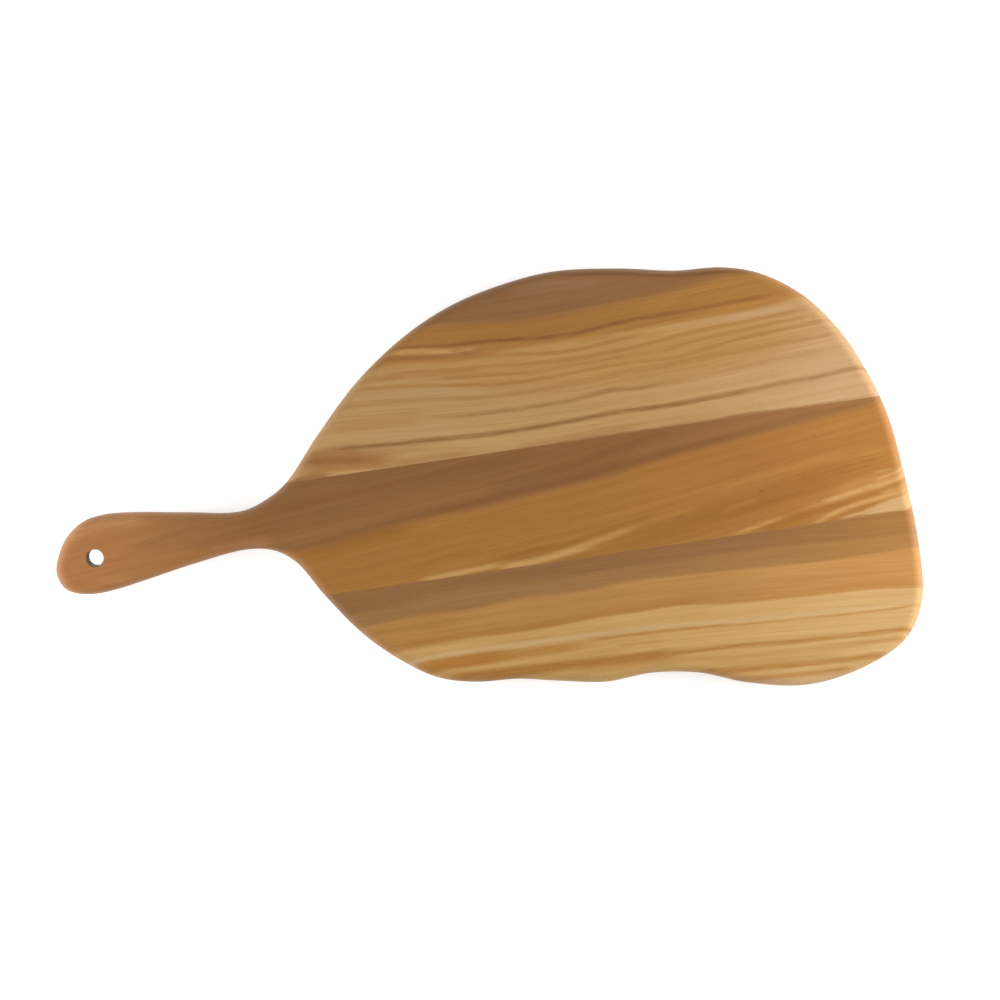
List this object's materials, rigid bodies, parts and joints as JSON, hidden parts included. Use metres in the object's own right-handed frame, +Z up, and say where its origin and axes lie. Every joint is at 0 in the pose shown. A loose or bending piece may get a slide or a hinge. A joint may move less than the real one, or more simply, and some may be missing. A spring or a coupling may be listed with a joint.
{
  "type": "paddle serving board",
  "caption": "Flat wooden serving board with a free-form blade, a short paddle handle with a hanging hole, rounded edges, and staves glued edge to edge.",
  "frame": {"origin": "on the underside, below the middle of the overall length and width", "axes": "+X along the staves from the handle to the far end, +Y across the staves to the upper stave, +Z up out of the serving face"},
  "size_m": [0.5, 0.26, 0.018],
  "materials": {
    "upper_stave_wood": "oiled satin, pale sapwood with a brown heartwood edge",
    "middle_stave_wood": "oiled satin, golden brown heartwood",
    "lower_stave_wood": "oiled satin, tan heartwood with a pale sapwood edge",
    "wood_glue": "dried wood glue, sanded flush"
  },
  "bodies": {
    "root": {"upper_stave": "upper_stave_wood", "upper_glue_film": "wood_glue", "middle_stave": "middle_stave_wood", "lower_glue_film": "wood_glue", "lower_stave": "lower_stave_wood"}
  },
  "joints": []
}
